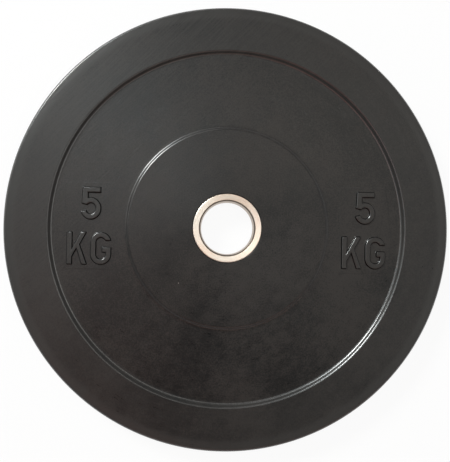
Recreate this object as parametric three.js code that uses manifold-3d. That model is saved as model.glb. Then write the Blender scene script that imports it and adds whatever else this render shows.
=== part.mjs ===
// A rubber bumper plate for a 50 mm bar sleeve: a moulded rubber disc, a turned steel hub and the perforated
// anchor plate that ties the hub to the rubber.
// Millimetres. +Z runs along the bar and +Y is up on the face. The origin is the middle of the plate.
// Both faces are alike: the back is the front turned half a turn about Y.
import * as THREE from "three";
import { mergeVertices } from "three/addons/utils/BufferGeometryUtils.js";
import Module from "manifold-3d";

// The rubber disc: the rim and the boss rise above the web on each face
const plateDiameter = 450;
const rimWidth = 44.05;
const rimEdgeRadius = 3;
const rimRise = 3.35;
const webThickness = 20.8;
const bossDiameter = 201.4;
const bossRise = 2.35;

// The drafted steps between the boss, the web and the rim
const rimStepRun = 4.2;
const rimStepRadius = 3;
const rimFootRadius = 4;
const bossStepRun = 2.2;
const bossStepRadius = 1.3;
const bossFootRadius = 1.5;
const hubLipRadius = 0.7;

// The steel hub: it stands proud of the boss and its bore flares a little to each mouth
const boreDiameter = 53;
const boreFlare = 0.9;
const boreParallelLength = 8;
const boreChamfer = 1.4;
const hubWall = 8.3;
const hubProud = 0.5;
const hubEdgeBevel = 0.8;
const hubFlangeLength = 4.2;
const hubGrooveDepth = 2;
const hubLandLength = 9;

// The anchor plate inside the rubber
const anchorDiameter = 148;
const anchorThickness = 3;
const anchorHoleDiameter = 16;
const anchorHoleCount = 8;

// The raised weight marks
const glyphHeight = 33;
const glyphWidth = 21;
const glyphStroke = 5.8;
const glyphRelief = 1.7;
const letterGap = 2.9;
const lineGap = 12.4;
const digitShift = 1.1;
const marksTowardsHub = 1.1;

// Bond clearance between rubber and steel, and how far joined solids run into each other
const bondGap = 0.3;
const overrun = 1;

// Facets round a full turn, the widest facet on a fillet, and when vertices are one
const discFacets = 80;
const hubFacets = 64;
const holeFacets = 20;
const curveFacets = 5;
const filletFacetAngle = THREE.MathUtils.degToRad(32);
const weldDistance = 1e-4;

// Sizes that follow from the driving ones
const plateRadius = plateDiameter / 2;
const rimInnerRadius = plateRadius - rimWidth;
const webOuterRadius = rimInnerRadius - rimStepRun;
const bossRadius = bossDiameter / 2;
const webInnerRadius = bossRadius + bossStepRun;
const webTop = webThickness / 2;
const bossTop = webTop + bossRise;
const rimTop = webTop + rimRise;
const boreRadius = boreDiameter / 2;
const hubRadius = boreRadius + hubWall;
const hubEnd = bossTop + hubProud;
const anchorBoreRadius = hubRadius + bondGap;
const anchorRadius = anchorDiameter / 2;
const anchorHoleCircleRadius = (anchorBoreRadius + anchorRadius) / 2;

const wasm = await Module();
wasm.setup();

const solidOf = (geometry) => {
  const bare = new THREE.BufferGeometry();
  bare.setAttribute("position", geometry.getAttribute("position"));
  bare.setIndex(geometry.getIndex());
  const merged = mergeVertices(bare, weldDistance);
  const mesh = new wasm.Mesh({
    numProp: 3,
    vertProperties: merged.attributes.position.array,
    triVerts: new Uint32Array(merged.index.array),
  });
  return new wasm.Manifold(mesh);
};

const geometryOf = (solid) => {
  const mesh = solid.getMesh();
  const geometry = new THREE.BufferGeometry();
  geometry.setAttribute("position", new THREE.BufferAttribute(mesh.vertProperties, 3));
  geometry.setIndex(new THREE.BufferAttribute(mesh.triVerts, 1));
  geometry.computeVertexNormals();
  return geometry;
};

// A corner of a turned outline: its distance from the axis, its height and the radius that rounds it
const corner = (radius, height, fillet = 0) => ({ at: new THREE.Vector2(radius, height), fillet });

// The points that round one corner between its neighbours with an arc
const roundedCorner = (before, { at, fillet }, after) => {
  if (fillet === 0) return [at];
  const back = before.at.clone().sub(at).normalize();
  const ahead = after.at.clone().sub(at).normalize();
  const halfAngle = Math.acos(back.dot(ahead)) / 2;
  const centre = back.clone().add(ahead).setLength(fillet / Math.sin(halfAngle)).add(at);
  const reach = fillet / Math.tan(halfAngle);
  const start = at.clone().addScaledVector(back, reach).sub(centre).angle();
  const end = at.clone().addScaledVector(ahead, reach).sub(centre).angle();
  const turn = THREE.MathUtils.euclideanModulo(end - start + Math.PI, 2 * Math.PI) - Math.PI;
  const steps = Math.ceil(Math.abs(turn) / filletFacetAngle);
  return Array.from({ length: steps + 1 }, (_, i) => {
    const angle = start + (turn * i) / steps;
    return new THREE.Vector2(Math.cos(angle), Math.sin(angle)).multiplyScalar(fillet).add(centre);
  });
};

// The other half of an outline that is alike above and below the middle plane
const mirrored = (corners) => corners.map(({ at, fillet }) => corner(at.x, -at.y, fillet)).reverse();

// A solid of revolution about Z from the corners of a closed outline, which runs anticlockwise
const turned = (corners, facets) => {
  const count = corners.length;
  const points = corners.flatMap((each, i) =>
    roundedCorner(corners[(i + count - 1) % count], each, corners[(i + 1) % count]),
  );
  return new THREE.LatheGeometry([...points, points[0]], facets).rotateX(Math.PI / 2);
};

const circlePoints = (radius, count, centre = new THREE.Vector2()) =>
  Array.from({ length: count }, (_, i) => {
    const angle = (2 * Math.PI * i) / count;
    return new THREE.Vector2(Math.cos(angle), Math.sin(angle)).multiplyScalar(radius).add(centre);
  });

const anchorHoleCentres = circlePoints(anchorHoleCircleRadius, anchorHoleCount);

// The glyphs stand on y = 0 with their left side on x = 0
const glyphLine = (shares) => shares.map(([x, y]) => [x * glyphWidth, y * glyphHeight]);

const letterK = () => {
  const outlineShares = [
    [0, 0],
    [glyphStroke / glyphWidth, 0],
    [glyphStroke / glyphWidth, 0.25],
    [0.47, 0.44],
    [0.7, 0],
    [1, 0],
    [0.65, 0.61],
    [0.98, 1],
    [0.66, 1],
    [glyphStroke / glyphWidth, 0.57],
    [glyphStroke / glyphWidth, 1],
    [0, 1],
  ];
  const points = glyphLine(outlineShares).map(([x, y]) => new THREE.Vector2(x, y));
  return new THREE.Shape(points);
};

const letterG = () => {
  const barTopShare = 0.56;
  const barStartShare = 0.53;
  const terminalShare = 0.715;
  const outer = glyphWidth / 2;
  const inner = outer - glyphStroke;
  const topCentre = glyphHeight - outer;
  const barTop = barTopShare * glyphHeight;
  const barStart = barStartShare * glyphWidth;
  const terminalRise = terminalShare * glyphHeight - topCentre;
  const shape = new THREE.Shape();
  shape.moveTo(glyphWidth, barTop);
  shape.lineTo(barStart, barTop);
  shape.lineTo(barStart, barTop - glyphStroke);
  shape.lineTo(outer + inner, barTop - glyphStroke);
  shape.absarc(outer, outer, inner, 0, Math.PI, true);
  shape.absarc(outer, topCentre, inner, Math.PI, Math.asin(terminalRise / inner), true);
  shape.absarc(outer, topCentre, outer, Math.asin(terminalRise / outer), Math.PI);
  shape.absarc(outer, outer, outer, Math.PI, 0);
  return shape;
};

const digitFive = () => {
  const bowlHeightShare = 0.69;
  const stemTopShare = 0.1;
  const stemFootShare = 0.05;
  const stemEndShare = 0.476;
  const barEndShare = 0.98;
  const terminalAngle = THREE.MathUtils.degToRad(193);
  const notchAngle = THREE.MathUtils.degToRad(145);
  const across = glyphWidth / 2;
  const upright = (bowlHeightShare * glyphHeight) / 2;
  const stemLeft = stemTopShare * glyphWidth;
  const stemRight = stemLeft + glyphStroke;
  const barEnd = barEndShare * glyphWidth;
  const joinAngle = Math.acos((stemRight - across) / across);
  const shape = new THREE.Shape();
  shape.absellipse(across, upright, across, upright, terminalAngle, joinAngle);
  shape.lineTo(stemRight, glyphHeight - glyphStroke);
  shape.lineTo(barEnd, glyphHeight - glyphStroke);
  shape.lineTo(barEnd, glyphHeight);
  shape.lineTo(stemLeft, glyphHeight);
  shape.lineTo(stemFootShare * glyphWidth, stemEndShare * glyphHeight);
  shape.absellipse(
    across,
    upright,
    across - glyphStroke,
    upright - glyphStroke,
    notchAngle,
    terminalAngle,
    true,
  );
  return shape;
};

// One raised glyph on the front web, with its lower left corner at x, y
const raisedGlyph = (shape, x, y) => {
  const options = { depth: overrun + glyphRelief, bevelEnabled: false, curveSegments: curveFacets };
  return new THREE.ExtrudeGeometry(shape, options).translate(x, y, webTop - overrun);
};

// The number above its unit, centred on the web on each side of the hub
const weightMarks = () => {
  const webMiddle = (webInnerRadius + webOuterRadius) / 2;
  const unitWidth = 2 * glyphWidth + letterGap;
  const upperLine = lineGap / 2;
  const lowerLine = -lineGap / 2 - glyphHeight;
  return [-1, 1].flatMap((side) => {
    const middle = side * (webMiddle - marksTowardsHub);
    const left = middle - unitWidth / 2;
    return [
      raisedGlyph(digitFive(), middle - glyphWidth / 2 + digitShift, upperLine),
      raisedGlyph(letterK(), left, lowerLine),
      raisedGlyph(letterG(), left + glyphWidth + letterGap, lowerLine),
    ];
  });
};

// The peg of rubber that fills one hole of the anchor plate
const rubberPeg = (centre) => {
  const radius = anchorHoleDiameter / 2 - bondGap;
  const length = anchorThickness + 2 * bondGap + 2 * overrun;
  return new THREE.CylinderGeometry(radius, radius, length, holeFacets)
    .rotateX(Math.PI / 2)
    .translate(centre.x, centre.y, 0);
};

const rubberBody = () => {
  const lip = hubRadius + bondGap;
  const grip = lip - hubGrooveDepth;
  const grooveTop = hubEnd - hubFlangeLength - bondGap;
  const grooveFoot = hubLandLength / 2 + bondGap;
  const slotHalf = anchorThickness / 2 + bondGap;
  const upper = [
    corner(plateRadius, rimTop, rimEdgeRadius),
    corner(rimInnerRadius, rimTop, rimStepRadius),
    corner(webOuterRadius, webTop, rimFootRadius),
    corner(webInnerRadius, webTop, bossFootRadius),
    corner(bossRadius, bossTop, bossStepRadius),
    corner(lip, bossTop, hubLipRadius),
    corner(lip, grooveTop),
    corner(grip, grooveTop),
    corner(grip, grooveFoot),
    corner(lip, grooveFoot),
    corner(lip, slotHalf),
    corner(anchorRadius + bondGap, slotHalf),
  ];
  const disc = solidOf(turned([...upper, ...mirrored(upper)], discFacets));
  const fronts = weightMarks();
  const backs = fronts.map((mark) => mark.clone().rotateY(Math.PI));
  const pegs = anchorHoleCentres.map(rubberPeg);
  return [...fronts, ...backs, ...pegs].reduce((body, added) => body.add(solidOf(added)), disc);
};

const hubSleeve = () => {
  const mouth = boreRadius + boreFlare;
  const waist = hubRadius - hubGrooveDepth;
  const upper = [
    corner(hubRadius, hubLandLength / 2),
    corner(waist, hubLandLength / 2),
    corner(waist, hubEnd - hubFlangeLength),
    corner(hubRadius, hubEnd - hubFlangeLength),
    corner(hubRadius, hubEnd - hubEdgeBevel),
    corner(hubRadius - hubEdgeBevel, hubEnd),
    corner(mouth + boreChamfer, hubEnd),
    corner(mouth, hubEnd - boreChamfer),
    corner(boreRadius, boreParallelLength / 2),
  ];
  return turned([...upper, ...mirrored(upper)], hubFacets);
};

const anchorPlate = () => {
  const shape = new THREE.Shape(circlePoints(anchorRadius, hubFacets));
  shape.holes.push(new THREE.Path(circlePoints(anchorBoreRadius, hubFacets)));
  for (const centre of anchorHoleCentres) {
    shape.holes.push(new THREE.Path(circlePoints(anchorHoleDiameter / 2, holeFacets, centre)));
  }
  const options = { depth: anchorThickness, bevelEnabled: false };
  return new THREE.ExtrudeGeometry(shape, options).translate(0, 0, -anchorThickness / 2);
};

const blackRubber = new THREE.MeshStandardMaterial({ color: 0x3a3938, roughness: 0.55, metalness: 0 });
const turnedSteel = new THREE.MeshStandardMaterial({ color: 0xd8cdbf, roughness: 0.3, metalness: 1 });
const plainSteel = new THREE.MeshStandardMaterial({ color: 0x8a8781, roughness: 0.5, metalness: 1 });

const named = (name, geometry, material) => {
  const mesh = new THREE.Mesh(geometry, material);
  mesh.name = name;
  return mesh;
};

const bumperPlate = new THREE.Group();
bumperPlate.add(
  named("rubber_body", geometryOf(rubberBody()), blackRubber),
  named("hub_sleeve", hubSleeve(), turnedSteel),
  named("anchor_plate", anchorPlate(), plainSteel),
);

export default bumperPlate;
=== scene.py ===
"""A rubber bumper plate for a 50 mm bar sleeve, dressed round its packed model.

The plate lies on a pale floor with its front up: +Z runs along the bar and +Y is up on the front face.
Lengths are metres, and MM turns millimetres into them.
"""

import math
from typing import NamedTuple

import bmesh
import bpy
from mathutils import Matrix, Vector


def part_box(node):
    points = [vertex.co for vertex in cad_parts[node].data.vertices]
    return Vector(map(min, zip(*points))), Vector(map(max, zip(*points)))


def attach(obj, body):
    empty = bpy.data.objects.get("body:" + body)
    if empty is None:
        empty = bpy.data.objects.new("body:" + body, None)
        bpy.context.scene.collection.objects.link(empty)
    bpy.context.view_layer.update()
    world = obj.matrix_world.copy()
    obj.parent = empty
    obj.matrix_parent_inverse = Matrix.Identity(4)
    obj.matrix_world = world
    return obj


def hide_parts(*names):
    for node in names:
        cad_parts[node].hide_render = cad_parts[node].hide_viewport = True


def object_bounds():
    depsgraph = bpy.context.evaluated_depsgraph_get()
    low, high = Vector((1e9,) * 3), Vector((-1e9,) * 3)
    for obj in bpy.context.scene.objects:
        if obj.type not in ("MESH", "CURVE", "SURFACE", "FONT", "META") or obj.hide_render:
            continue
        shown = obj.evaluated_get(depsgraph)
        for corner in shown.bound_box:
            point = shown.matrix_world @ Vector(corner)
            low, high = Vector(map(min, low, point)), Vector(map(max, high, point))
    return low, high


bl_info = {
    "name": "Bumper Plate",
    "version": (1, 0, 0),
    "blender": (4, 5, 0),
    "location": "3D View > Sidebar > Bumper Plate",
    "description": "Models a rubber bumper plate with a turned steel hub, and the studio round it",
    "category": "Add Mesh",
}

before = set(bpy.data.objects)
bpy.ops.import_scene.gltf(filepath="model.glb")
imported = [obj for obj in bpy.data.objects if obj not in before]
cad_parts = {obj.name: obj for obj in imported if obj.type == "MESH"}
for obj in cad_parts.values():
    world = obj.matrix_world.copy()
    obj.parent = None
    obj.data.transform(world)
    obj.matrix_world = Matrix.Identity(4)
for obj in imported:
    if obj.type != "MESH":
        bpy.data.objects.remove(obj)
CAD_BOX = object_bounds()

MM = 0.001
FULL_TURN = 2 * math.pi

# The packed model's own sizes, which the defaults below start from
BODY_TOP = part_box("rubber_body")[1]
HUB_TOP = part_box("hub_sleeve")[1]
ANCHOR_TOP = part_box("anchor_plate")[1]


def length(name, description, default):
    """A property that holds a length in metres."""
    return bpy.props.FloatProperty(
        name=name, description=description, default=default, unit="LENGTH", subtype="DISTANCE", precision=5
    )


def angle(name, description, degrees):
    """A property that holds an angle."""
    return bpy.props.FloatProperty(
        name=name, description=description, default=math.radians(degrees), unit="ROTATION", subtype="ANGLE"
    )


def count(name, description, default):
    """A property that holds a whole number."""
    return bpy.props.IntProperty(name=name, description=description, default=default, min=1)


def number(name, description, default):
    """A property that holds a plain number that is never negative."""
    return bpy.props.FloatProperty(
        name=name, description=description, default=default, min=0.0, precision=3
    )


def colour(name, description, default):
    """A property that holds a colour in linear light."""
    return bpy.props.FloatVectorProperty(
        name=name, description=description, default=default, min=0.0, max=1.0, size=3, subtype="COLOR"
    )


class PlateRubberSettings(bpy.types.PropertyGroup):
    """Sizes and colours of the moulded rubber."""

    plate_radius: length("Plate radius", "Outer radius of the plate", BODY_TOP.x)
    rim_top: length("Rim top", "Height of the rim above the middle plane", BODY_TOP.z)
    rim_width: length("Rim width", "Width of the raised rim", 44.12 * MM)
    rim_edge_radius: length("Rim edge radius", "Rounding of the rim's outer edges", 3 * MM)
    rim_rise: length("Rim rise", "Height of the rim above the web", 3.35 * MM)
    rim_step_run: length("Rim step run", "Width of the drafted step down from the rim", 3.45 * MM)
    rim_step_radius: length("Rim step radius", "Rounding at the top of the rim's step", 3 * MM)
    rim_foot_radius: length("Rim foot radius", "Hollow rounding at the foot of the rim's step", 4.2 * MM)
    crown_run: length("Crown run", "Width of the slightly fallen outer part of the rim", 8 * MM)
    crown_fall: length("Crown fall", "How far the outer part of the rim falls away", 0.65 * MM)
    crown_radius: length("Crown radius", "Rounding where the rim starts to fall away", 60 * MM)
    boss_radius: length("Boss radius", "Outer radius of the raised boss", 100.5 * MM)
    boss_rise: length("Boss rise", "Height of the boss above the web", 2.35 * MM)
    boss_step_run: length("Boss step run", "Width of the drafted step down from the boss", 2.25 * MM)
    boss_step_radius: length("Boss step radius", "Rounding at the top of the boss's step", 3 * MM)
    boss_foot_radius: length("Boss foot radius", "Hollow rounding at the foot of the boss's step", 3.2 * MM)
    sink_run: length("Sink run", "Width of the shallow ramp that the web has at each step", 3.1 * MM)
    sink_rise: length("Sink rise", "Height of the ramps", 0.17 * MM)
    sink_radius: length("Sink radius", "Hollow rounding between the web and the ramps", 25 * MM)
    hub_lip_radius: length("Hub lip radius", "Rounding of the rubber next to the hub", 0.7 * MM)
    wall_draft: length("Wall draft", "How far the outer wall leans in at each face", 0.1 * MM)
    flash_width: length("Flash width", "Width of the mould's parting line round the outer wall", 0.7 * MM)
    flash_rise: length("Flash rise", "Height of the mould's parting line", 0.1 * MM)
    bond_gap: length("Bond gap", "Clearance between the rubber and the steel in it", 0.3 * MM)
    base: colour("Rubber", "Colour of the clean rubber", (0.006, 0.006, 0.006))
    bloom: colour("Bloom", "Colour of the brownish bloom on the rubber", (0.025, 0.0215, 0.0195))
    # Wear on the rim, edge and glyph tops. On the rim's step walls this lighter colour is painted light,
    # and in the wiped patches it is partly painted sheen.
    wear_and_painted_light: colour("Worn", "Colour of rubber that rubs against floors and bars", (0.034, 0.0325, 0.031))
    # Painted shade: a near-black colour for the shadow on the glyphs' steep walls.
    painted_wall_shade: colour("Wall shade", "Colour of the glyphs' steep walls", (0.003, 0.003, 0.003))
    speck: colour("Speck", "Colour of the dust specks", (0.2, 0.18, 0.165))
    roughness: number("Roughness", "Roughness of the flat moulded faces", 0.34)
    polish: number("Polish", "Strength of the glossy skin on the steps and edges, which wear spares", 1.0)
    skin_roughness: number("Skin roughness", "Roughness of that glossy skin", 0.2)
    skin_index: number("Skin index", "Refractive index of that glossy skin", 1.8)
    reflection: number("Reflection", "Strength of the rubber's mirror-like share", 0.35)
    dullness: number("Dullness", "How matt the glyphs' steep walls are", 0.95)
    edge_dullness: number("Edge dullness", "How matt the steps' and the plate's steep walls are", 0.5)


class PlateMarkSettings(bpy.types.PropertyGroup):
    """Sizes of the raised weight marks."""

    height: length("Height", "Height of a glyph", 33 * MM)
    width: length("Width", "Width of a glyph", 21 * MM)
    stroke: length("Stroke", "Width of a glyph's stroke", 5.8 * MM)
    relief: length("Relief", "How far the glyphs stand above the web", 2.1 * MM)
    letter_gap: length("Letter gap", "Gap between two letters", 2.9 * MM)
    line_gap: length("Line gap", "Gap between the number and its unit", 12.4 * MM)
    digit_shift: length("Digit shift", "How far the number stands right of its unit's middle", 1.1 * MM)
    towards_hub: length("Towards hub", "How far the marks stand in from the web's middle", 1.1 * MM)
    foot_radius: length("Foot radius", "Hollow rounding at the foot of a glyph", 0.45 * MM)
    crown_run: length("Crown run", "Width of the rounding of a glyph's upper edges", 1.2 * MM)
    crown_rise: length("Crown rise", "Height of the rounding of a glyph's upper edges", 0.9 * MM)
    corner_radius: length("Corner radius", "Rounding of a glyph's outer corners", 1.3 * MM)
    wall_lean: angle("Wall lean", "Draft of a glyph's walls", 19)
    pad_width: length("Pad width", "Width of the mould's insert, printed faintly round the marks", 49 * MM)
    pad_height: length("Pad height", "Height of the mould's insert", 87.4 * MM)


class PlateHubSettings(bpy.types.PropertyGroup):
    """Sizes and colours of the turned steel hub."""

    outer_radius: length("Outer radius", "Outer radius of the hub", HUB_TOP.x)
    end: length("End", "Height of the hub's end face above the middle plane", HUB_TOP.z)
    bore_radius: length("Bore radius", "Radius of the bore's parallel middle", 26.5 * MM)
    bore_flare: length("Bore flare", "How far the bore widens to each mouth", 0.9 * MM)
    bore_parallel: length("Bore parallel", "Length of the bore's parallel middle", 8 * MM)
    bore_chamfer: length("Bore chamfer", "Chamfer at each mouth of the bore", 1.4 * MM)
    edge_radius: length("Edge radius", "Rounding of the hub's outer edges", 0.8 * MM)
    dish: length("Dish", "How far the end faces fall from their outer edge to the bore", 0.28 * MM)
    edge_break: length("Edge break", "Fine rounding of every turned edge", 0.12 * MM)
    flange_length: length("Flange length", "Length of the hub's full diameter at each end", 4.2 * MM)
    groove_depth: length("Groove depth", "Depth of the grooves that the rubber grips", 2 * MM)
    land_length: length("Land length", "Length of the land that carries the anchor plate", 9 * MM)
    steel: colour("Steel", "Colour of the turned steel", (0.97, 0.88, 0.78))
    stain: colour("Stain", "Colour of the steel's warm stain", (0.95, 0.79, 0.66))
    # Painted shade: the chamfers are darkened in colour for the dim surroundings that they reflect.
    chamfer: colour("Chamfer", "Colour of the darkened chamfers at the bore's mouths", (0.2, 0.165, 0.135))
    # Painted shade: the bore's wall is darkened in colour for the dim surroundings that it reflects.
    bore: colour("Bore", "Colour of the bore's wall", (0.42, 0.34, 0.27))
    roughness: number("Roughness", "Roughness of the turned steel", 0.3)


class PlateAnchorSettings(bpy.types.PropertyGroup):
    """Sizes and colours of the anchor plate inside the rubber."""

    outer_radius: length("Outer radius", "Outer radius of the anchor plate", ANCHOR_TOP.x)
    half_thickness: length("Half thickness", "Half the thickness of the anchor plate", ANCHOR_TOP.z)
    hole_radius: length("Hole radius", "Radius of the holes that the rubber flows through", 8 * MM)
    hole_count: count("Hole count", "Number of holes", 8)
    edge_break: length("Edge break", "Rounding of the plate's sheared edges", 0.35 * MM)
    steel: colour("Steel", "Colour of the bare sheet", (0.42, 0.41, 0.40))
    scale: colour("Scale", "Colour of the mill scale on it", (0.12, 0.125, 0.14))


class PlateStageSettings(bpy.types.PropertyGroup):
    """The camera, the lamps and the floor."""

    distance: length("Distance", "From the camera to the plate", 700 * MM)
    lean_x: angle("Lean X", "How far the camera leans to the plate's right", -1.62)
    lean_y: angle("Lean Y", "How far the camera leans to the plate's top", -1.40)
    roll: angle("Roll", "How far the camera is turned about its view", 1.0)
    aim_x: length("Aim X", "Where the middle of the picture falls on the plate", -2.15 * MM)
    aim_y: length("Aim Y", "Where the middle of the picture falls on the plate", -2.98 * MM)
    aim_z: length("Aim Z", "Height of the plane that the camera aims at", 12 * MM)
    lens: number("Lens", "Focal length in millimetres", 53.91)
    floor: colour("Floor", "Colour of the floor and the cove", (0.9, 0.9, 0.9))
    floor_white: number("Floor white", "How far the floor shows white whatever light falls on it", 0.93)
    sky: number("Sky", "Strength of the plain surroundings", 0.12)
    lamps: number("Lamps", "Strength of all the lamps", 1.0)
    lamp_distance: length("Lamp distance", "From the plate's middle to every lamp", 2.5)


def settings(name):
    """The scene's settings for one part of the plate."""
    return getattr(bpy.context.scene, name)


# Flat outlines


class Pen:
    """Draws a closed outline at height 0: lines are extruded vertices, and arcs are spun ones."""

    def __init__(self, x, y):
        self.mesh = bmesh.new()
        self.tip = bmesh.ops.create_vert(self.mesh, co=(x, y, 0))["vert"][0]
        self.start = self.tip
        self.corners = []

    def line(self, x, y):
        """Draws a straight run to x, y."""
        step = Vector((x, y, 0)) - self.tip.co
        self.tip = bmesh.ops.extrude_vert_indiv(self.mesh, verts=[self.tip])["verts"][0]
        bmesh.ops.translate(self.mesh, verts=[self.tip], vec=step)
        return self

    def arc(self, x, y, turn, steps, stretch=1.0):
        """Draws an arc about x, y, anticlockwise where turn is positive.

        A stretch above 1 makes it part of a tall ellipse.
        """
        middle = Vector((x, y, 0))
        space = Matrix.Translation(-middle)
        verts = self.mesh.verts[:]
        bmesh.ops.scale(self.mesh, verts=verts, vec=(1, 1 / stretch, 1), space=space)
        made = bmesh.ops.spin(
            self.mesh,
            geom=[self.tip],
            cent=middle,
            axis=(0, 0, 1),
            angle=turn,
            steps=steps,
            use_merge=False,
        )
        self.tip = next(each for each in made["geom_last"] if isinstance(each, bmesh.types.BMVert))
        bmesh.ops.scale(self.mesh, verts=self.mesh.verts[:], vec=(1, stretch, 1), space=space)
        return self

    def corner(self, radius):
        """Has the corner at the tip rounded once the outline is closed."""
        if radius > 0:
            self.corners.append((self.tip, radius))
        return self

    def wire(self):
        """Closes the outline and returns its mesh."""
        bmesh.ops.contextual_create(self.mesh, geom=[self.tip, self.start])
        return self.mesh

    def face(self):
        """Closes the outline, fills it with a face that looks up and rounds its corners."""
        mesh = self.wire()
        bmesh.ops.contextual_create(mesh, geom=mesh.edges[:])
        flipped = [face for face in mesh.faces if face.normal.z < 0]
        bmesh.ops.reverse_faces(mesh, faces=flipped)
        for vert, radius in self.corners:
            round_corner(mesh, vert, radius)
        return mesh


CORNER_SEGMENTS = 5


def round_corner(mesh, vert, radius):
    """Rounds one corner of a flat face."""
    ahead, back = (edge.other_vert(vert).co - vert.co for edge in vert.link_edges)
    reach = radius / math.tan(ahead.angle(back) / 2)
    bmesh.ops.bevel(
        mesh,
        geom=[vert],
        offset=reach,
        offset_type="OFFSET",
        segments=CORNER_SEGMENTS,
        profile=0.5,
        affect="VERTICES",
        material=-1,
    )


ARC_STEP = math.radians(4)
MIN_ARC_STEPS = 3


def rounded_wire(corners):
    """The wire of a closed outline from its corners, each an x, a y and the radius that rounds it."""
    pen = None
    places = [Vector((x, y, 0)) for x, y, _ in corners]
    for index, (x, y, radius) in enumerate(corners):
        at = places[index]
        back = (places[index - 1] - at).normalized()
        ahead = (places[(index + 1) % len(places)] - at).normalized()
        half = back.angle(ahead) / 2
        first = at + back * (radius / math.tan(half))
        if pen is None:
            pen = Pen(first.x, first.y)
        else:
            pen.line(first.x, first.y)
        if radius > 0:
            middle = at + (back + ahead).normalized() * (radius / math.sin(half))
            turn = math.copysign(math.pi - 2 * half, ahead.cross(back).z)
            pen.arc(middle.x, middle.y, turn, max(MIN_ARC_STEPS, math.ceil(abs(turn) / ARC_STEP)))
    return pen.wire()


def mirrored(corners):
    """The corners of the other half of an outline that is alike above and below y 0."""
    return [(x, -y, radius) for x, y, radius in reversed(corners)]


def revolve(mesh, steps):
    """Stands a flat outline up, so that its y is a height, and spins it round Z."""
    upright = Matrix.Rotation(math.pi / 2, 3, "X")
    bmesh.ops.rotate(mesh, verts=mesh.verts[:], cent=(0, 0, 0), matrix=upright)
    bmesh.ops.spin(
        mesh,
        geom=mesh.verts[:] + mesh.edges[:],
        cent=(0, 0, 0),
        axis=(0, 0, 1),
        angle=FULL_TURN,
        steps=steps,
        use_merge=True,
    )


def turned(corners, steps):
    """A solid of revolution about Z from its outline's corners: radius, height and rounding."""
    mesh = rounded_wire(corners)
    revolve(mesh, steps)
    bmesh.ops.recalc_face_normals(mesh, faces=mesh.faces[:])
    return mesh


# Pieces


def absorb(target, source, place):
    """Adds a copy of one mesh to another at a place."""
    carrier = bpy.data.meshes.new("carrier")
    source.to_mesh(carrier)
    carrier.transform(place)
    target.from_mesh(carrier)
    bpy.data.meshes.remove(carrier)


def piece_from(mesh, name):
    """Makes an object of a finished mesh."""
    data = bpy.data.meshes.new(name)
    mesh.to_mesh(data)
    mesh.free()
    piece = bpy.data.objects.new(name, data)
    bpy.context.scene.collection.objects.link(piece)
    return piece


SHARP_ANGLE = math.radians(40)


def finished(piece, tools=None, operation="UNION"):
    """Joins or cuts a piece with its tools, and has flat faces look flat beside its roundings."""
    piece.data.shade_smooth()
    if tools:
        joint = piece.modifiers.new("Joint", "BOOLEAN")
        joint.object = tools
        joint.operation = operation
        joint.solver = "EXACT"
        settle(piece)
        bpy.data.objects.remove(tools)
    piece.data.shade_smooth()
    piece.data.set_sharp_from_angle(angle=SHARP_ANGLE)
    weights = piece.modifiers.new("Flat faces", "WEIGHTED_NORMAL")
    weights.mode = "FACE_AREA"
    weights.keep_sharp = True
    settle(piece)


def settle(piece):
    """Applies a piece's modifiers."""
    shown = piece.evaluated_get(bpy.context.evaluated_depsgraph_get())
    data = bpy.data.meshes.new_from_object(shown)
    data.name = piece.name
    piece.modifiers.clear()
    piece.data = data


def hand_over(piece, node, material):
    """Gives a piece its material and puts it in the place of a packed node."""
    piece.data.materials.clear()
    piece.data.materials.append(material)
    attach(piece, "root")
    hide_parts(node)


# Shader nodes


class Value:
    """A shader socket that Python's arithmetic works on."""

    def __init__(self, shader, socket):
        self.shader = shader
        self.socket = socket

    def __add__(self, other):
        return self.shader.maths("ADD", self, other)

    def __radd__(self, other):
        return self.shader.maths("ADD", other, self)

    def __sub__(self, other):
        return self.shader.maths("SUBTRACT", self, other)

    def __rsub__(self, other):
        return self.shader.maths("SUBTRACT", other, self)

    def __mul__(self, other):
        return self.shader.maths("MULTIPLY", self, other)

    def __rmul__(self, other):
        return self.shader.maths("MULTIPLY", other, self)

    def __truediv__(self, other):
        return self.shader.maths("DIVIDE", self, other)

    def __pow__(self, other):
        return self.shader.maths("POWER", self, other)


class Spot(NamedTuple):
    """Where on the object the shader is, as a vector and as its three numbers."""

    vector: Value
    x: Value
    y: Value
    z: Value

    def radius(self):
        """How far it is from the plate's axis."""
        return (self.x * self.x + self.y * self.y) ** 0.5


class Pattern(NamedTuple):
    """A noise: its cycles to the metre, how many finer layers it has, and how strong they are."""

    scale: float
    layers: float
    strength: float = 0.5


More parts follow.
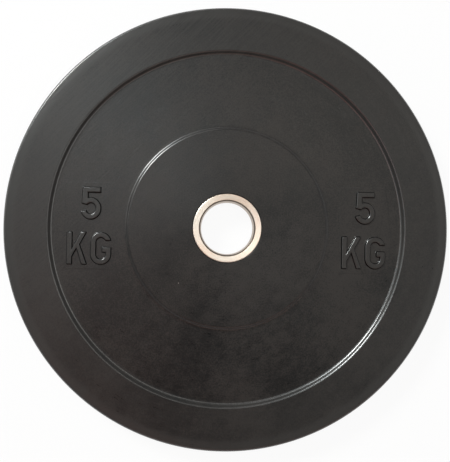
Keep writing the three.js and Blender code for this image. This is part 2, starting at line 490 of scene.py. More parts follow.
class Shader:
    """Builds the nodes of one material or world."""

    def __init__(self, owner):
        owner.use_nodes = True
        self.tree = owner.node_tree
        self.tree.nodes.clear()

    def node(self, kind, options=None, sockets=None, out=0):
        """Adds a node, sets its options and then its sockets' values or links.

        Returns one output or, where out is None, all of them by name.
        """
        made = self.tree.nodes.new(kind)
        for name, value in (options or {}).items():
            setattr(made, name, value)
        for name, value in (sockets or {}).items():
            socket = self.pick(made.inputs, name)
            if isinstance(value, Value):
                self.tree.links.new(value.socket, socket)
            else:
                socket.default_value = value
        if out is None:
            return {socket.name: Value(self, socket) for socket in made.outputs if socket.enabled}
        if not made.outputs:
            return None
        return Value(self, self.pick(made.outputs, out))

    @staticmethod
    def pick(sockets, name):
        """The socket with a number or, among those in use, with a name."""
        if isinstance(name, int):
            return sockets[name]
        return next(socket for socket in sockets if socket.enabled and socket.name == name)

    def maths(self, operation, *values):
        """One Math node."""
        return self.node("ShaderNodeMath", {"operation": operation}, dict(enumerate(values)))

    def ramp(self, value, low, high):
        """0 where the value is at low, 1 at high, and smooth between."""
        return self.node(
            "ShaderNodeMapRange",
            {"interpolation_type": "SMOOTHSTEP"},
            {"Value": value, "From Min": low, "From Max": high},
        )

    def shifted_ramp(self, value, share, limits, shifted_limits):
        """A ramp whose limits go from the first pair to the second as the share goes from 0 to 1."""
        low, high = (between(share, *ends) for ends in zip(limits, shifted_limits))
        return self.ramp(value, low, high)

    def blend(self, factor, first, second):
        """A colour between two, each a link or three numbers."""
        first, second = (each if isinstance(each, Value) else (*each, 1.0) for each in (first, second))
        sockets = {0: factor, "A": first, "B": second}
        return self.node("ShaderNodeMix", {"data_type": "RGBA"}, sockets, "Result")

    def noise(self, place, pattern):
        """A pattern's noise at a place."""
        sockets = {
            "Vector": place,
            "Scale": pattern.scale,
            "Detail": pattern.layers,
            "Roughness": pattern.strength,
        }
        return self.node("ShaderNodeTexNoise", None, sockets)

    def spot(self):
        """Where on the object the shader is."""
        vector = self.node("ShaderNodeTexCoord", None, None, "Object")
        parts = self.node("ShaderNodeSeparateXYZ", None, {0: vector}, None)
        return Spot(vector, parts["X"], parts["Y"], parts["Z"])

    def rings(self, spot, turn, scale, height=None):
        """A place in cycles that gives a noise rings. A height also lays them one above another."""
        radius = spot.radius()
        outwards = radius + height if height else radius
        return self.vector(spot.x / radius * turn, spot.y / radius * turn, outwards * scale)

    def lean(self):
        """How far the surface leans: 0 where it is level, and 1 where it stands upright."""
        normal = self.node("ShaderNodeTexCoord", None, None, "Normal")
        upward = self.node("ShaderNodeSeparateXYZ", None, {0: normal}, "Z")
        return 1 - self.maths("ABSOLUTE", upward)

    def vector(self, x, y, z):
        """A vector from three numbers."""
        return self.node("ShaderNodeCombineXYZ", None, {0: x, 1: y, 2: z})

    def surface(self, sockets, bump_height, bump_distance, dull=None):
        """The material's output: a Principled surface with a bump, or a matt one where dull is 1."""
        bump = {"Strength": 1.0, "Distance": bump_distance, "Height": bump_height}
        sockets["Normal"] = self.node("ShaderNodeBump", None, bump)
        surface = self.node("ShaderNodeBsdfPrincipled", None, sockets)
        if dull:
            plain = {"Base Color": sockets["Base Color"], "Roughness": 1.0, "Specular IOR Level": 0.0}
            matt = self.node("ShaderNodeBsdfPrincipled", None, plain)
            surface = self.node("ShaderNodeMixShader", None, {0: dull, 1: surface, 2: matt})
        self.node("ShaderNodeOutputMaterial", None, {"Surface": surface})


def between(share, first, second):
    """The number that is first where the share is 0, and second where it is 1."""
    return first + share * (second - first)


def mixed(values, shares):
    """The sum of the named values, each times its share."""
    total, *others = (values[name] * share for name, share in shares.items())
    for other in others:
        total = total + other
    return total


NOISE_MIDDLE = 0.5
QUARTER_TURN = 0.25

# Patterns of the rubber. One with a scale of 1 gets a place that is counted in cycles
CLOUDS = Pattern(11, 3)
MOTTLE = Pattern(95, 5, 0.62)
GRAIN = Pattern(700, 3, 0.6)
STREAKS = Pattern(1, 4, 0.6)
STREAK_TURN = 9
STREAK_SCALE = 700
PATCHES = Pattern(13, 2)
PATCH_LIMITS = (0.35, 0.6)
WIPES = Pattern(1, 3, 0.6)
WIPE_LIMITS = (0.38, 0.7)
WIPE_LENGTH_SCALE = 14
WIPE_WIDTH_SCALE = 420
# Painted sheen: how much the wiped patches grow towards the upper left, and the share of their strength
# that they keep elsewhere.
UPPER_LEFT_PATCHES = 0.15
SMEARS_ELSEWHERE = 0.3
DUST_SCALE = 42
DUST_RADII = (0.016, 0.03)
DUST_RARITY = (0.93, 0.935)


def rubber_patterns(shader, spot, look):
    """The rubber's patterns by name: turned mould marks, blotches, grain, wiped streaks and dust. The wiped
    streaks grow towards the upper left as a painted sheen.
    """
    along = (spot.x + spot.y) * WIPE_LENGTH_SCALE
    across = spot.y - spot.x
    wipes = shader.noise(shader.vector(along, across * WIPE_WIDTH_SCALE, 0), WIPES)
    # Painted sheen: the wiped patches grow lighter and stronger towards the upper left, where the key light
    # falls.
    upper_left = shader.ramp(across, 0, look.plate_radius)
    patches = shader.noise(spot.vector, PATCHES) + upper_left * UPPER_LEFT_PATCHES
    smears_and_sheen = shader.ramp(patches, *PATCH_LIMITS) * shader.ramp(wipes, *WIPE_LIMITS)
    dust = shader.node("ShaderNodeTexVoronoi", None, {"Vector": spot.vector, "Scale": DUST_SCALE}, None)
    rarity = shader.node("ShaderNodeSeparateColor", None, {0: dust["Color"]}, "Red")
    return {
        "streaks": shader.noise(shader.rings(spot, STREAK_TURN, STREAK_SCALE), STREAKS),
        "clouds": shader.noise(spot.vector, CLOUDS),
        "mottle": shader.noise(spot.vector, MOTTLE),
        "grain": shader.noise(spot.vector, GRAIN),
        "smears_and_sheen": smears_and_sheen * between(upper_left, SMEARS_ELSEWHERE, 1),
        "specks": (1 - shader.ramp(dust["Distance"], *DUST_RADII)) * shader.ramp(rarity, *DUST_RARITY),
    }


ZONE_BORDER = 1 * MM
GLYPH_TOP_BORDER = 0.5 * MM
EDGE_ZONE_START = 14 * MM
EDGE_ZONE_FULL = 6 * MM


def rubber_zones(shader, spot, look, marks):
    """Masks by name, each 1 on one part: rim, step, outer edge, web or the tops of the glyphs."""
    radius = spot.radius()
    rim_inner = look.plate_radius - look.rim_width
    rim_foot = rim_inner - look.rim_step_run
    boss_foot = look.boss_radius + look.boss_step_run
    glyph_top = look.rim_top - look.rim_rise + marks.relief
    edge_start = look.plate_radius - EDGE_ZONE_START
    edge_full = look.plate_radius - EDGE_ZONE_FULL
    height = shader.maths("ABSOLUTE", spot.z)
    beyond_web = shader.ramp(radius, rim_foot - ZONE_BORDER, rim_foot)
    rim = shader.ramp(radius, rim_inner - ZONE_BORDER, rim_inner + ZONE_BORDER)
    web = shader.ramp(radius, boss_foot, boss_foot + ZONE_BORDER) * (1 - beyond_web)
    return {
        "rim": rim,
        "step": beyond_web * (1 - rim),
        "edge": shader.ramp(radius, edge_start, edge_full),
        "web": web,
        "glyph": web * shader.ramp(height, glyph_top - ZONE_BORDER, glyph_top - GLYPH_TOP_BORDER),
    }


PAD_BORDER = 0.5 * MM


def insert_print(shader, spot, look, marks):
    """A mask that is 1 inside the print of the mould's inserts round the marks."""
    away = shader.maths("ABSOLUTE", spot.x) - marks_middle(look, marks)
    beyond = shader.maths("ABSOLUTE", away) - marks.pad_width / 2
    above = shader.maths("ABSOLUTE", spot.y) - marks.pad_height / 2
    return 1 - shader.ramp(shader.maths("MAXIMUM", beyond, above), -PAD_BORDER, PAD_BORDER)


# How much each pattern or zone counts in the rubber's colours, roughness and bumps
BLOOM_SHARES = {"clouds": 0.35, "mottle": 0.2, "grain": 0.45}
BLOOM_LIMITS = (0.4, 0.6)
# The step share is painted light that brightens the rim's step walls. The wiped share is partly painted
# sheen.
WEAR_AND_PAINTED_LIGHT_SHARES = {"rim": 0.3, "step": 0.45, "edge": 0.65, "glyph": 0.35, "smears_and_sheen": 0.45}
ROUGHENING_SHARES = {"smears_and_sheen": 0.12, "specks": 0.3}
UNEVENNESS_SHARES = {"streaks": 0.25, "mottle": 0.2, "clouds": 0.1}
BUMP_SHARES = {"streaks": 0.6, "grain": 0.7, "mottle": 0.6, "smears_and_sheen": 0.8}

# How deep the bumps are, and how far the turned marks stretch a highlight
RUBBER_BUMP = 0.05 * MM
RUBBER_STRETCH = 0.3

# The leans between which the glossy skin sets in and ends, and between which a wall is steep
SKIN_START_LEANS = (0.03, 0.065)
SKIN_START_LEANS_AT_EDGE = (0.02, 0.042)
SKIN_END_LEANS = (0.19, 0.24)
SKIN_END_LEANS_AT_EDGE = (0.26, 0.4)
WALL_LEANS = (0.35, 0.6)
WALL_LEANS_ON_WEB = (0.22, 0.42)

# The glossy skin sets in between these shares of the boss's radius, which is clear of the hub
SKIN_RADIUS_SHARES = (0.5, 0.6)


def rubber_material(look, marks):
    """Black moulded rubber with wear on its rim and edge, painted light on its rim's step walls, painted
    sheen towards the upper left, painted shade on the glyphs' walls, and a glossy skin left on the steps.
    """
    material = bpy.data.materials.new("moulded_rubber")
    shader = Shader(material)
    spot = shader.spot()
    lean = shader.lean()
    patterns = rubber_patterns(shader, spot, look)
    zones = rubber_zones(shader, spot, look, marks)
    starts = shader.shifted_ramp(lean, zones["edge"], SKIN_START_LEANS, SKIN_START_LEANS_AT_EDGE)
    ends = shader.shifted_ramp(lean, zones["edge"], SKIN_END_LEANS, SKIN_END_LEANS_AT_EDGE)
    nearest, full = (look.boss_radius * share for share in SKIN_RADIUS_SHARES)
    skin = starts * (1 - ends) * shader.ramp(spot.radius(), nearest, full)
    walls = shader.shifted_ramp(lean, zones["web"], WALL_LEANS, WALL_LEANS_ON_WEB)
    tone = shader.blend(shader.ramp(mixed(patterns, BLOOM_SHARES), *BLOOM_LIMITS), look.base, look.bloom)
    # Wear, with painted light on the rim's step walls and painted sheen in the wiped patches towards the
    # upper left.
    tone = shader.blend(mixed({**patterns, **zones}, WEAR_AND_PAINTED_LIGHT_SHARES), tone, look.wear_and_painted_light)
    tone = shader.blend(patterns["specks"], tone, look.speck)
    # Painted shade: the glyphs' steep walls on the web take the near-black colour for their shadow.
    tone = shader.blend(walls * zones["web"], tone, look.painted_wall_shade)
    even = look.roughness - NOISE_MIDDLE * sum(UNEVENNESS_SHARES.values())
    roughness = even + mixed(patterns, UNEVENNESS_SHARES) + mixed(patterns, ROUGHENING_SHARES)
    shader.surface(
        {
            "Base Color": tone,
            "Roughness": roughness,
            "Anisotropic": RUBBER_STRETCH,
            "Anisotropic Rotation": QUARTER_TURN,
            "Specular IOR Level": look.reflection,
            "Coat Weight": skin * look.polish,
            "Coat Roughness": look.skin_roughness,
            "Coat IOR": look.skin_index,
        },
        mixed(patterns, BUMP_SHARES) * (1 - skin) + insert_print(shader, spot, look, marks),
        RUBBER_BUMP,
        walls * between(zones["web"], look.edge_dullness, look.dullness),
    )
    return material


# Patterns of the turned steel
RINGS = Pattern(1, 3, 0.6)
RING_SCALE = 1500
RING_TURN = 3
RING_ROUGHNESS = 0.12
BANDS = Pattern(1, 2)
BAND_SCALE = 375
BAND_TURN = 1.3
STAINS = Pattern(30, 3)
STAIN_SHARES = {"stains": 0.6, "bands": 0.4}
STAIN_LIMITS = (0.4, 0.62)
CHAMFER_BORDER = 0.3 * MM
BORE_BORDER = 0.1 * MM
STEEL_BUMP = 0.015 * MM
STEEL_STRETCH = 0.5


def steel_material(look):
    """Steel with the lathe's marks: rings on its faces, and rings one above another in its bore. Its
    chamfers and bore wall carry painted shade.
    """
    material = bpy.data.materials.new("turned_steel_ring")
    shader = Shader(material)
    spot = shader.spot()
    radius = spot.radius()
    lathe_marks = shader.noise(shader.rings(spot, RING_TURN, RING_SCALE, spot.z), RINGS)
    stains = {
        "stains": shader.noise(spot.vector, STAINS),
        "bands": shader.noise(shader.rings(spot, BAND_TURN, BAND_SCALE, spot.z), BANDS),
    }
    mouth = look.bore_radius + look.bore_flare
    chamfer_edge = mouth + look.bore_chamfer
    tone = shader.blend(shader.ramp(mixed(stains, STAIN_SHARES), *STAIN_LIMITS), look.steel, look.stain)
    # Painted shade: the chamfers take a dark colour for the dim surroundings that they reflect.
    on_chamfer = shader.ramp(radius, chamfer_edge, chamfer_edge - CHAMFER_BORDER)
    tone = shader.blend(on_chamfer, tone, look.chamfer)
    # Painted shade: the bore's wall takes a darker colour for the dim surroundings that it reflects.
    in_bore = shader.ramp(radius, mouth, mouth - BORE_BORDER)
    tone = shader.blend(in_bore, tone, look.bore)
    shader.surface(
        {
            "Base Color": tone,
            "Metallic": 1.0,
            "Roughness": look.roughness + (lathe_marks - NOISE_MIDDLE) * RING_ROUGHNESS,
            "Anisotropic": STEEL_STRETCH,
            "Anisotropic Rotation": QUARTER_TURN,
        },
        lathe_marks,
        STEEL_BUMP,
    )
    return material


# Patterns of the sheet steel
SCALE_PATCHES = Pattern(45, 5, 0.65)
SCALE_LIMITS = (0.42, 0.58)
ROLLED_LINES = Pattern(1, 3)
ROLLED_LENGTH_SCALE = 60
ROLLED_WIDTH_SCALE = 900
ROLLED_ROUGHNESS = 0.2
SHEET_ROUGHNESS = 0.42
SCALE_ROUGHNESS = 0.2
SCALE_METAL_LOSS = 0.35
SCALE_BUMP_SHARE = 0.4
SHEET_BUMP = 0.02 * MM


def sheet_material(look):
    """Bare sheet steel with patches of mill scale."""
    material = bpy.data.materials.new("mill_scale_sheet")
    shader = Shader(material)
    spot = shader.spot()
    patches = shader.ramp(shader.noise(spot.vector, SCALE_PATCHES), *SCALE_LIMITS)
    along, upward = (each * ROLLED_LENGTH_SCALE for each in (spot.x, spot.z))
    rolled = shader.noise(shader.vector(along, spot.y * ROLLED_WIDTH_SCALE, upward), ROLLED_LINES)
    roughness = SHEET_ROUGHNESS + patches * SCALE_ROUGHNESS + (rolled - NOISE_MIDDLE) * ROLLED_ROUGHNESS
    shader.surface(
        {
            "Base Color": shader.blend(patches, look.steel, look.scale),
            "Metallic": 1.0 - patches * SCALE_METAL_LOSS,
            "Roughness": roughness,
        },
        rolled + patches * SCALE_BUMP_SHARE,
        SHEET_BUMP,
    )
    return material


# Weight marks

OUTER_ARC_STEP = math.radians(12)
INNER_ARC_STEP = math.radians(18)


def arc_steps(turn, step):
    """How many steps an arc takes."""
    return math.ceil(abs(turn) / step)


def letter_k(width, height, stroke, rounding):
    """The outline of a K as a face, from its lower left corner."""
    corner_shares = [
        (0, 0, 1),
        (stroke / width, 0, 1),
        (stroke / width, 0.25, 0),
        (0.47, 0.44, 0),
        (0.7, 0, 1),
        (1, 0, 1),
        (0.65, 0.61, 0),
        (0.98, 1, 1),
        (0.66, 1, 1),
        (stroke / width, 0.57, 0),
        (stroke / width, 1, 1),
        (0, 1, 1),
    ]
    first, *others = corner_shares
    pen = Pen(first[0] * width, first[1] * height).corner(first[2] * rounding)
    for x, y, rounded in others:
        pen.line(x * width, y * height).corner(rounded * rounding)
    return pen.face()


G_BAR_TOP_SHARE = 0.56
G_BAR_START_SHARE = 0.53
G_ENDS_SHARE = 0.715


def letter_g(width, height, stroke, rounding):
    """The outline of a G as a face, from its lower left corner."""
    bar_top = G_BAR_TOP_SHARE * height
    bar_start = G_BAR_START_SHARE * width
    outer = width / 2
    inner = outer - stroke
    top_middle = height - outer
    rise = G_ENDS_SHARE * height - top_middle
    inner_end = math.asin(rise / inner)
    outer_end = math.asin(rise / outer)
    pen = Pen(width, bar_top).corner(rounding)
    pen.line(bar_start, bar_top).corner(rounding)
    pen.line(bar_start, bar_top - stroke).corner(rounding)
    pen.line(outer + inner, bar_top - stroke)
    pen.line(outer + inner, outer)
    pen.arc(outer, outer, -math.pi, arc_steps(math.pi, INNER_ARC_STEP))
    pen.line(outer - inner, top_middle)
    inner_turn = math.pi - inner_end
    pen.arc(outer, top_middle, -inner_turn, arc_steps(inner_turn, INNER_ARC_STEP)).corner(rounding)
    pen.line(outer + outer * math.cos(outer_end), top_middle + rise).corner(rounding)
    outer_turn = math.pi - outer_end
    pen.arc(outer, top_middle, outer_turn, arc_steps(outer_turn, OUTER_ARC_STEP))
    pen.line(0, outer)
    pen.arc(outer, outer, math.pi, arc_steps(math.pi, OUTER_ARC_STEP))
    return pen.face()


FIVE_TERMINAL = math.radians(193)
FIVE_NOTCH = math.radians(145)
FIVE_BOWL_SHARE = 0.69
FIVE_STEM_SHARE = 0.1
FIVE_BAR_END_SHARE = 0.98
FIVE_SPUR_X_SHARE = 0.05
FIVE_SPUR_Y_SHARE = 0.476


def digit_five(width, height, stroke, rounding):
    """The outline of a 5 as a face, from its lower left corner."""
    across = width / 2
    upright = FIVE_BOWL_SHARE * height / 2
    stem_left = FIVE_STEM_SHARE * width
    stem_right = stem_left + stroke
    bar_end = FIVE_BAR_END_SHARE * width
    join = math.acos((stem_right - across) / across)
    inner_across = across - stroke
    inner_upright = upright - stroke
    bowl_turn = FULL_TURN + join - FIVE_TERMINAL
    hollow_turn = FULL_TURN + FIVE_NOTCH - FIVE_TERMINAL
    pen = Pen(across + across * math.cos(FIVE_TERMINAL), upright + upright * math.sin(FIVE_TERMINAL))
    pen.corner(rounding)
    pen.arc(across, upright, bowl_turn, arc_steps(bowl_turn, OUTER_ARC_STEP), upright / across)
    pen.line(stem_right, height - stroke)
    pen.line(bar_end, height - stroke).corner(rounding)
    pen.line(bar_end, height).corner(rounding)
    pen.line(stem_left, height).corner(rounding)
    pen.line(FIVE_SPUR_X_SHARE * width, FIVE_SPUR_Y_SHARE * height).corner(rounding)
    pen.line(across + inner_across * math.cos(FIVE_NOTCH), upright + inner_upright * math.sin(FIVE_NOTCH))
    steps = arc_steps(hollow_turn, INNER_ARC_STEP)
    pen.arc(across, upright, -hollow_turn, steps, inner_upright / inner_across).corner(rounding)
    return pen.face()


FOOT_SINK = 0.6 * MM
FOOT_OVERLAP = 0.02 * MM
FOOT_STEPS = 4
CROWN_STEPS = 6
CORNER_MERGE = 0.12 * MM


def wall_profile(marks):
    """The steps in and up a glyph's wall: a hollow foot, a drafted wall and a rounded crown."""
    slope = math.pi / 2 - marks.wall_lean
    foot_rise = marks.foot_radius * (1 - math.cos(slope))
    start = math.atan(marks.crown_rise / marks.crown_run / math.tan(slope))
    crown_rise = marks.crown_rise * (1 - math.sin(start))
    wall_rise = marks.relief + FOOT_OVERLAP - foot_rise - crown_rise
    wall_run = wall_rise / math.tan(slope)
    points = [Vector((0, 0))]
    for step in range(1, FOOT_STEPS + 1):
        tilt = slope * step / FOOT_STEPS
        points.append(Vector((math.sin(tilt), 1 - math.cos(tilt))) * marks.foot_radius)
    points.append(points[-1] + Vector((wall_run, wall_rise)))
    crown_foot = points[-1]
    for step in range(1, CROWN_STEPS + 1):
        turn = start + (math.pi / 2 - start) * step / CROWN_STEPS
        run = marks.crown_run * (math.cos(start) - math.cos(turn))
        rise = marks.crown_rise * (math.sin(turn) - math.sin(start))
        points.append(crown_foot + Vector((run, rise)))
    return [after - before for before, after in zip(points, points[1:])]


def raised(glyph, marks):
    """Raises the face of a glyph's foot to a solid with a rounded top."""
    made = bmesh.ops.extrude_face_region(glyph, geom=glyph.faces[:])
    lifted = [each for each in made["geom"] if isinstance(each, bmesh.types.BMVert)]
    bmesh.ops.translate(glyph, verts=lifted, vec=(0, 0, FOOT_SINK - FOOT_OVERLAP))
    for run, rise in wall_profile(marks):
        bmesh.ops.inset_region(
            glyph,
            faces=[top_of(glyph)],
            thickness=run,
            depth=rise,
            use_boundary=True,
            use_even_offset=True,
        )
        bmesh.ops.remove_doubles(glyph, verts=top_of(glyph).verts[:], dist=CORNER_MERGE)
    bmesh.ops.recalc_face_normals(glyph, faces=glyph.faces[:])
    return glyph


def top_of(glyph):
    """The face that lies highest."""
    return max(glyph.faces, key=lambda face: face.calc_center_median().z)


def marks_middle(rubber, marks):
    """How far the middle of each group of marks is from the plate's middle."""
    web_inner = rubber.boss_radius + rubber.boss_step_run
    web_outer = rubber.plate_radius - rubber.rim_width - rubber.rim_step_run
    return (web_inner + web_outer) / 2 - marks.towards_hub


def weight_marks(rubber, marks):
    """Every raised glyph of both faces, as one mesh to join to the rubber."""
    web_top = rubber.rim_top - rubber.rim_rise
    middle = marks_middle(rubber, marks)
    grow = marks.foot_radius
    unit_width = 2 * marks.width + marks.letter_gap
    lower = -marks.line_gap / 2 - marks.height
    places = [
        (digit_five, marks.digit_shift - marks.width / 2, marks.line_gap / 2),
        (letter_k, -unit_width / 2, lower),
        (letter_g, unit_width / 2 - marks.width, lower),
    ]
    fronts = bmesh.new()
    for draw, x, y in places:
        size = [each + 2 * grow for each in (marks.width, marks.height, marks.stroke)]
        glyph = raised(draw(*size, marks.corner_radius), marks)
        for side in (-1, 1):
            place = Vector((side * middle + x - grow, y - grow, web_top - FOOT_SINK))
            absorb(fronts, glyph, Matrix.Translation(place))
        glyph.free()
    both = bmesh.new()
    absorb(both, fronts, Matrix.Identity(4))
    absorb(both, fronts, Matrix.Rotation(math.pi, 4, "Y"))
    fronts.free()
    return both


DISC_STEPS = 288
PEG_STEPS = 40
PEG_OVERLAP = 1 * MM


def hole_places(anchor, hub, rubber):
    """The middles of the anchor plate's holes."""
    ring = (hub.outer_radius + rubber.bond_gap + anchor.outer_radius) / 2
    turns = [FULL_TURN * index / anchor.hole_count for index in range(anchor.hole_count)]
    return [Matrix.Rotation(turn, 4, "Z") @ Matrix.Translation((ring, 0, 0)) for turn in turns]


def rubber_disc(rubber, hub, anchor):
    """The disc of rubber, with the grooves and the slot that the steel sits in."""
    web_top = rubber.rim_top - rubber.rim_rise
    boss_top = web_top + rubber.boss_rise
    rim_inner = rubber.plate_radius - rubber.rim_width
    rim_foot = rim_inner - rubber.rim_step_run
    boss_foot = rubber.boss_radius + rubber.boss_step_run
    flash_foot = rubber.plate_radius - rubber.flash_rise
    lip = hub.outer_radius + rubber.bond_gap
    grip = lip - hub.groove_depth
    groove_top = hub.end - hub.flange_length - rubber.bond_gap
    groove_foot = hub.land_length / 2 + rubber.bond_gap
    slot_half = anchor.half_thickness + rubber.bond_gap
    upper = [
        (rubber.plate_radius, rubber.flash_width / 4, rubber.flash_rise / 2),
        (flash_foot, rubber.flash_width / 2, rubber.flash_rise / 2),
        (flash_foot - rubber.wall_draft, rubber.rim_top - rubber.crown_fall, rubber.rim_edge_radius),
        (rubber.plate_radius - rubber.crown_run, rubber.rim_top, rubber.crown_radius),
        (rim_inner, rubber.rim_top, rubber.rim_step_radius),
        (rim_foot, web_top + rubber.sink_rise, rubber.rim_foot_radius),
        (rim_foot - rubber.sink_run, web_top, rubber.sink_radius),
        (boss_foot + rubber.sink_run, web_top, rubber.sink_radius),
        (boss_foot, web_top + rubber.sink_rise, rubber.boss_foot_radius),
        (rubber.boss_radius, boss_top, rubber.boss_step_radius),
        (lip, boss_top, rubber.hub_lip_radius),
        (lip, groove_top, 0),
        (grip, groove_top, 0),
        (grip, groove_foot, 0),
        (lip, groove_foot, 0),
        (lip, slot_half, 0),
        (anchor.outer_radius + rubber.bond_gap, slot_half, 0),
    ]
    return turned(upper + mirrored(upper), DISC_STEPS)


class PLATE_OT_rubber_body(bpy.types.Operator):
    """Models the rubber: rim, web, boss, weight marks and the pegs that fill the anchor plate's holes"""

    bl_idname = "plate.rubber_body"
    bl_label = "Rubber Body"

    def execute(self, context):
        rubber = settings("plate_rubber")
        marks = settings("plate_marks")
        hub = settings("plate_hub")
        anchor = settings("plate_anchor")
        body = piece_from(rubber_disc(rubber, hub, anchor), "rubber_disc")
        additions = weight_marks(rubber, marks)
        peg = bmesh.new()
        radius = anchor.hole_radius - rubber.bond_gap
        depth = 2 * (anchor.half_thickness + rubber.bond_gap + PEG_OVERLAP)
        bmesh.ops.create_cone(
            peg, cap_ends=True, segments=PEG_STEPS, radius1=radius, radius2=radius, depth=depth
        )
        for place in hole_places(anchor, hub, rubber):
            absorb(additions, peg, place)
        peg.free()
        finished(body, piece_from(additions, "additions"))
        hand_over(body, "rubber_body", rubber_material(rubber, marks))
        return {"FINISHED"}


HUB_STEPS = 256


class PLATE_OT_hub_sleeve(bpy.types.Operator):
    """Models the turned steel hub that the bar goes through"""

    bl_idname = "plate.hub_sleeve"
    bl_label = "Hub Sleeve"

    def execute(self, context):
        hub = settings("plate_hub")
        mouth = hub.bore_radius + hub.bore_flare
        waist = hub.outer_radius - hub.groove_depth
        fine = hub.edge_break
        upper = [
            (hub.outer_radius, hub.land_length / 2, fine),
            (waist, hub.land_length / 2, fine),
            (waist, hub.end - hub.flange_length, fine),
            (hub.outer_radius, hub.end - hub.flange_length, fine),
            (hub.outer_radius, hub.end, hub.edge_radius),
            (mouth + hub.bore_chamfer, hub.end - hub.dish, fine),
            (mouth, hub.end - hub.dish - hub.bore_chamfer, fine),
            (hub.bore_radius, hub.bore_parallel / 2, fine),
        ]
        sleeve = piece_from(turned(upper + mirrored(upper), HUB_STEPS), "hub_ring")
        finished(sleeve)
        hand_over(sleeve, "hub_sleeve", steel_material(hub))
        return {"FINISHED"}


ANCHOR_STEPS = 128
HOLE_STEPS = 48
PUNCH_MERGE = 0.01 * MM


class PLATE_OT_anchor_plate(bpy.types.Operator):
    """Models the perforated anchor plate inside the rubber"""

    bl_idname = "plate.anchor_plate"
    bl_label = "Anchor Plate"

    def execute(self, context):
        rubber = settings("plate_rubber")
        hub = settings("plate_hub")
        anchor = settings("plate_anchor")
        inner = hub.outer_radius + rubber.bond_gap
        top = anchor.half_thickness
        fine = anchor.edge_break
        upper = [(anchor.outer_radius, top, fine), (inner, top, fine)]
        plate = piece_from(turned(upper + mirrored(upper), ANCHOR_STEPS), "anchor_ring")
        flare = anchor.hole_radius + fine
        punch_upper = [
            (anchor.hole_radius, top - fine, 0),
            (flare, top, 0),
            (flare, 2 * top, 0),
            (0, 2 * top, 0),
        ]
        punch = turned(punch_upper + mirrored(punch_upper), HOLE_STEPS)
        bmesh.ops.remove_doubles(punch, verts=punch.verts[:], dist=PUNCH_MERGE)
        bmesh.ops.recalc_face_normals(punch, faces=punch.faces[:])
        punches = bmesh.new()
        for place in hole_places(anchor, hub, rubber):
            absorb(punches, punch, place)
        punch.free()
        finished(plate, piece_from(punches, "punches"), "DIFFERENCE")
        hand_over(plate, "anchor_plate", sheet_material(anchor))
        return {"FINISHED"}


# Stage


NEAREST_VIEW = 10 * MM
FARTHEST_VIEW = 100


def camera(stage):
    """The camera above the plate."""
    lean = Vector((math.sin(stage.lean_x), math.sin(stage.lean_y)))
    away = Vector((lean.x, lean.y, math.sqrt(1 - lean.length_squared)))
    right = Vector((0, 1, 0)).cross(away).normalized()
    turn = Matrix.Rotation(stage.roll, 3, away)
    right = turn @ right
    data = bpy.data.cameras.new("Camera")
    data.lens = stage.lens
    data.clip_start = NEAREST_VIEW
    data.clip_end = FARTHEST_VIEW
    view = bpy.data.objects.new("Camera", data)
    axes = Matrix((right, away.cross(right), away)).transposed()
    aim = Vector((stage.aim_x, stage.aim_y, stage.aim_z))
    view.matrix_world = Matrix.Translation(aim + away * stage.distance) @ axes.to_4x4()
    bpy.context.scene.collection.objects.link(view)
    bpy.context.scene.camera = view


COVE_RADIUS = 5.0
COVE_HEIGHT = 1.1
COVE_BEND = 0.9
COVE_STEPS = 96
BEND_STEPS = 12
COVE_MERGE = 0.1 * MM
FLOOR_GAP = 0.05 * MM


def cove(stage):
    """A pale floor that bends up into a wall all round."""
    pen = Pen(0, 0).line(COVE_RADIUS - COVE_BEND, 0)
    pen.arc(COVE_RADIUS - COVE_BEND, COVE_BEND, math.pi / 2, BEND_STEPS)
    pen.line(COVE_RADIUS, COVE_HEIGHT)
    mesh = pen.mesh
    revolve(mesh, COVE_STEPS)
    bmesh.ops.remove_doubles(mesh, verts=mesh.verts[:], dist=COVE_MERGE)
    bmesh.ops.recalc_face_normals(mesh, faces=mesh.faces[:])
    floor_height = CAD_BOX[0].z - FLOOR_GAP
    bmesh.ops.translate(mesh, verts=mesh.verts[:], vec=(0, 0, floor_height))
    if sum(face.normal.z for face in mesh.faces) < 0:
        bmesh.ops.reverse_faces(mesh, faces=mesh.faces[:])
    floor = piece_from(mesh, "floor")
    floor.data.shade_smooth()
    floor.data.materials.append(floor_material(stage))


def floor_material(stage):
    """A pale floor that shows almost white, keeps a soft shadow, and can be looked through from below."""
    material = bpy.data.materials.new("pale_floor")
    shader = Shader(material)
    rays = shader.node("ShaderNodeLightPath", None, None, None)
    seen = rays["Is Camera Ray"] + rays["Is Glossy Ray"] + rays["Is Transmission Ray"]
    lit = shader.node("ShaderNodeBsdfDiffuse", None, {"Color": (*stage.floor, 1.0)})
    white = shader.node("ShaderNodeEmission", None, {"Strength": 1.0})
    shown = shader.node("ShaderNodeMixShader", None, {0: seen * stage.floor_white, 1: lit, 2: white})
    clear = shader.node("ShaderNodeBsdfTransparent")
    behind = shader.node("ShaderNodeNewGeometry", None, None, "Backfacing")
    surface = shader.node("ShaderNodeMixShader", None, {0: behind, 1: shown, 2: clear})
    shader.node("ShaderNodeOutputMaterial", None, {"Surface": surface})
    return material


class SoftLamp(NamedTuple):
    """A plain rectangular lamp that looks at the plate's middle.

    Its place is an angle down from straight above and an angle round the plate from +X. Its width and
    height are the angles that it fills as the plate sees it. All are degrees. A brightness of 1 is white.
    """

    name: str
    tilt: float
    azimuth: float
    width: float
    height: float
    brightness: float
    tint: tuple


PLAIN = (1.0, 1.0, 0.97)
COOL = (0.87, 0.98, 1.0)
WARM = (1.0, 0.96, 0.88)
ROSE = (1.0, 0.71, 0.63)
RED = (1.0, 0.5, 0.35)
EMBER = (1.0, 0.12, 0.05)
BLUE = (0.4, 0.9, 1.0)

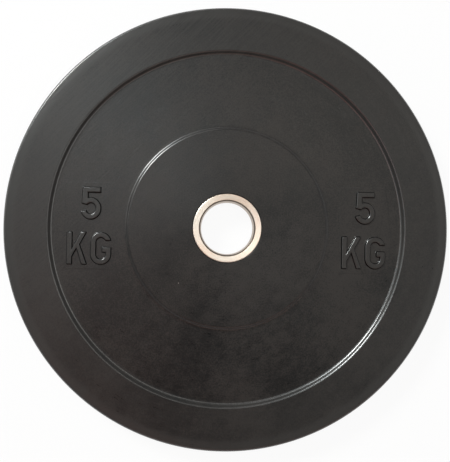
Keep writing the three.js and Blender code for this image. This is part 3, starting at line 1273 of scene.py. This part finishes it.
LAMPS = (
    SoftLamp("overhead_left", 15, 135, 14, 13, 4.6, COOL),
    SoftLamp("overhead_right", 15, 45, 14, 13, 2.4, WARM),
    SoftLamp("overhead_top", 15, 90, 14, 13, 1.4, PLAIN),
    SoftLamp("overhead_side", 15, 180, 14, 13, 2.2, ROSE),
    SoftLamp("right", 30, 0, 34, 16, 1.1, PLAIN),
    SoftLamp("upper_right", 30, 45, 34, 16, 0.35, WARM),
    SoftLamp("upper_left", 30, 135, 34, 16, 0.2, PLAIN),
    SoftLamp("left", 30, 185, 34, 16, 0.4, BLUE),
    SoftLamp("lower_left", 30, 230, 30, 16, 0.6, EMBER),
    SoftLamp("lower_right", 30, 315, 34, 16, 0.4, PLAIN),
    SoftLamp("key", 51, 135, 12, 16, 27, PLAIN),
    SoftLamp("key_halo", 51, 133, 24, 12, 11, COOL),
    SoftLamp("key_glow", 51, 135, 70, 8, 1.6, PLAIN),
    SoftLamp("low_bottom", 51, 285, 60, 8, 0.9, RED),
    SoftLamp("low_right", 70, 5, 60, 12, 0.3, PLAIN),
)


def span(distance, degrees):
    """The width that fills an angle at a distance."""
    return 2 * distance * math.tan(math.radians(degrees) / 2)


def lamp(soft, strength, distance):
    """Hangs one lamp."""
    tilt, azimuth = math.radians(soft.tilt), math.radians(soft.azimuth)
    level = math.sin(tilt)
    away = Vector((level * math.cos(azimuth), level * math.sin(azimuth), math.cos(tilt)))
    data = bpy.data.lights.new(soft.name, "AREA")
    data.shape = "RECTANGLE"
    data.size = span(distance, soft.width)
    data.size_y = span(distance, soft.height)
    data.energy = strength * soft.brightness * math.pi * data.size * data.size_y
    data.color = soft.tint
    lit = bpy.data.objects.new(soft.name, data)
    turn = away.to_track_quat("Z", "Y").to_matrix().to_4x4()
    lit.matrix_world = Matrix.Translation(away * distance) @ turn
    lit.visible_camera = False
    bpy.context.scene.collection.objects.link(lit)


class PLATE_OT_stage(bpy.types.Operator):
    """Puts the camera, the lamps, the surroundings and the pale floor round the plate"""

    bl_idname = "plate.stage"
    bl_label = "Stage"

    def execute(self, context):
        stage = settings("plate_stage")
        context.scene.view_settings.view_transform = "Standard"
        world = bpy.data.worlds.new("surroundings")
        context.scene.world = world
        shader = Shader(world)
        white = (1.0, 1.0, 1.0, 1.0)
        sky = shader.node("ShaderNodeBackground", None, {"Color": white, "Strength": stage.sky})
        shader.node("ShaderNodeOutputWorld", None, {"Surface": sky})
        camera(stage)
        cove(stage)
        for each in LAMPS:
            lamp(each, stage.lamps, stage.lamp_distance)
        return {"FINISHED"}


class PLATE_PT_bumper_plate(bpy.types.Panel):
    """The plate's pieces and their sizes"""

    bl_idname = "PLATE_PT_bumper_plate"
    bl_label = "Bumper Plate"
    bl_space_type = "VIEW_3D"
    bl_region_type = "UI"
    bl_category = "Bumper Plate"

    def draw(self, context):
        for operator in OPERATORS:
            self.layout.operator(operator.bl_idname)
        for name, group in SETTINGS.items():
            box = self.layout.box()
            box.label(text=group.__doc__)
            for field in group.__annotations__:
                box.prop(getattr(context.scene, name), field)


OPERATORS = (PLATE_OT_rubber_body, PLATE_OT_hub_sleeve, PLATE_OT_anchor_plate, PLATE_OT_stage)
SETTINGS = {
    "plate_rubber": PlateRubberSettings,
    "plate_marks": PlateMarkSettings,
    "plate_hub": PlateHubSettings,
    "plate_anchor": PlateAnchorSettings,
    "plate_stage": PlateStageSettings,
}


def register():
    """Registers the settings, the operators and the panel."""
    for name, group in SETTINGS.items():
        bpy.utils.register_class(group)
        setattr(bpy.types.Scene, name, bpy.props.PointerProperty(type=group))
    for each in (*OPERATORS, PLATE_PT_bumper_plate):
        bpy.utils.register_class(each)


def unregister():
    """Takes the panel, the operators and the settings out again."""
    for each in reversed((*OPERATORS, PLATE_PT_bumper_plate)):
        bpy.utils.unregister_class(each)
    for name, group in SETTINGS.items():
        delattr(bpy.types.Scene, name)
        bpy.utils.unregister_class(group)


def main():
    """Makes every piece and the stage."""
    register()
    bpy.ops.plate.rubber_body()
    bpy.ops.plate.hub_sleeve()
    bpy.ops.plate.anchor_plate()
    bpy.ops.plate.stage()


if __name__ == "__main__":
    main()
